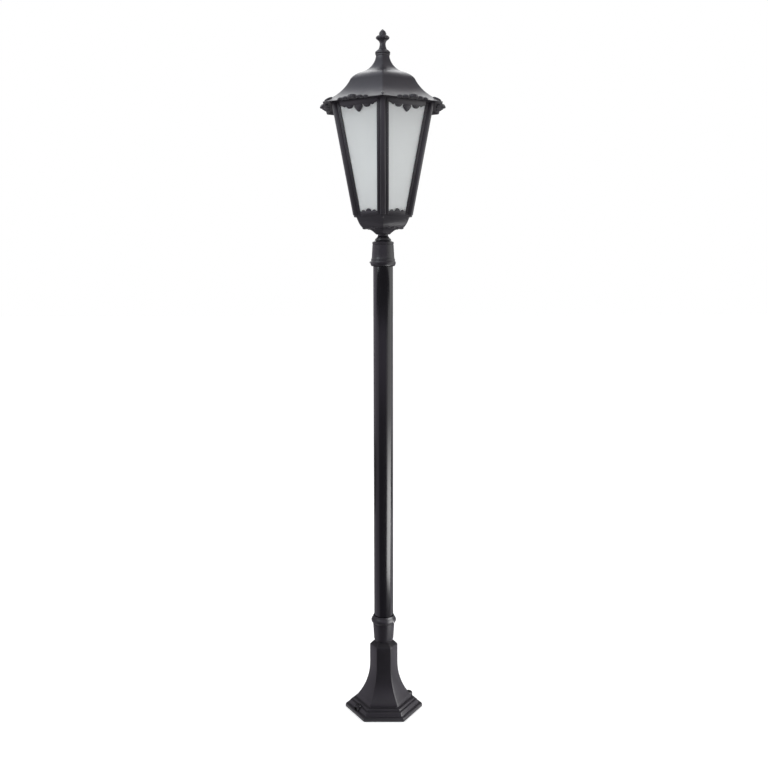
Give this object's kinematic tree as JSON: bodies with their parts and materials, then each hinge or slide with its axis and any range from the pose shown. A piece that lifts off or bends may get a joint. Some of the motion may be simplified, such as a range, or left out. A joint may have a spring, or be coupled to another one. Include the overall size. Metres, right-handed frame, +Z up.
{
  "type": "garden lamp post",
  "caption": "Outdoor garden lamp post: hexagonal lantern with frosted panes and a bell roof, on a round pole with collars and a flared hexagonal base.",
  "frame": {"origin": "on the ground, under the middle of the pole", "axes": "+Z up along the pole; the lantern's flats face +X and -X and its corners face +Y and -Y; the base's flats face +Y and -Y; the picture looks along +Y"},
  "size_m": [0.3756, 0.399, 2.102],
  "materials": {
    "base_coat": "satin black powder coat on cast aluminium",
    "collar_coat": "satin black powder coat on cast aluminium",
    "pole_coat": "semi-gloss black powder coat on aluminium tube",
    "lantern_coat": "satin black powder coat on cast aluminium",
    "frosted_glass": "frosted on the inside",
    "plain_steel": "zinc-plated or stainless steel",
    "holder_body": "matt off-white",
    "bulb_white": "opal white"
  },
  "bodies": {
    "root": {"base": "base_coat", "lower_collar": "collar_coat", "upper_collar": "collar_coat", "pole": "pole_coat", "bowl": "lantern_coat", "top_frame": "lantern_coat", "roof": "lantern_coat", "finial": "lantern_coat", "rib_1": "lantern_coat", "rib_2": "lantern_coat", "rib_3": "lantern_coat", "rib_4": "lantern_coat", "rib_5": "lantern_coat", "rib_6": "lantern_coat", "pane_1": "frosted_glass", "pane_2": "frosted_glass", "pane_3": "frosted_glass", "pane_4": "frosted_glass", "pane_5": "frosted_glass", "pane_6": "frosted_glass", "lower_lock_nut": "plain_steel", "lower_set_screws": "plain_steel", "upper_set_screws": "plain_steel", "neck_tube": "plain_steel", "neck_nuts": "plain_steel", "rib_screws_lower": "plain_steel", "rib_screws_upper": "plain_steel", "roof_strap": "plain_steel", "strap_screws": "plain_steel", "roof_rod": "plain_steel", "rod_nuts": "plain_steel", "lamp_bracket": "plain_steel", "bracket_screws": "plain_steel", "lamp_holder": "holder_body", "bulb": "bulb_white"}
  },
  "joints": []
}
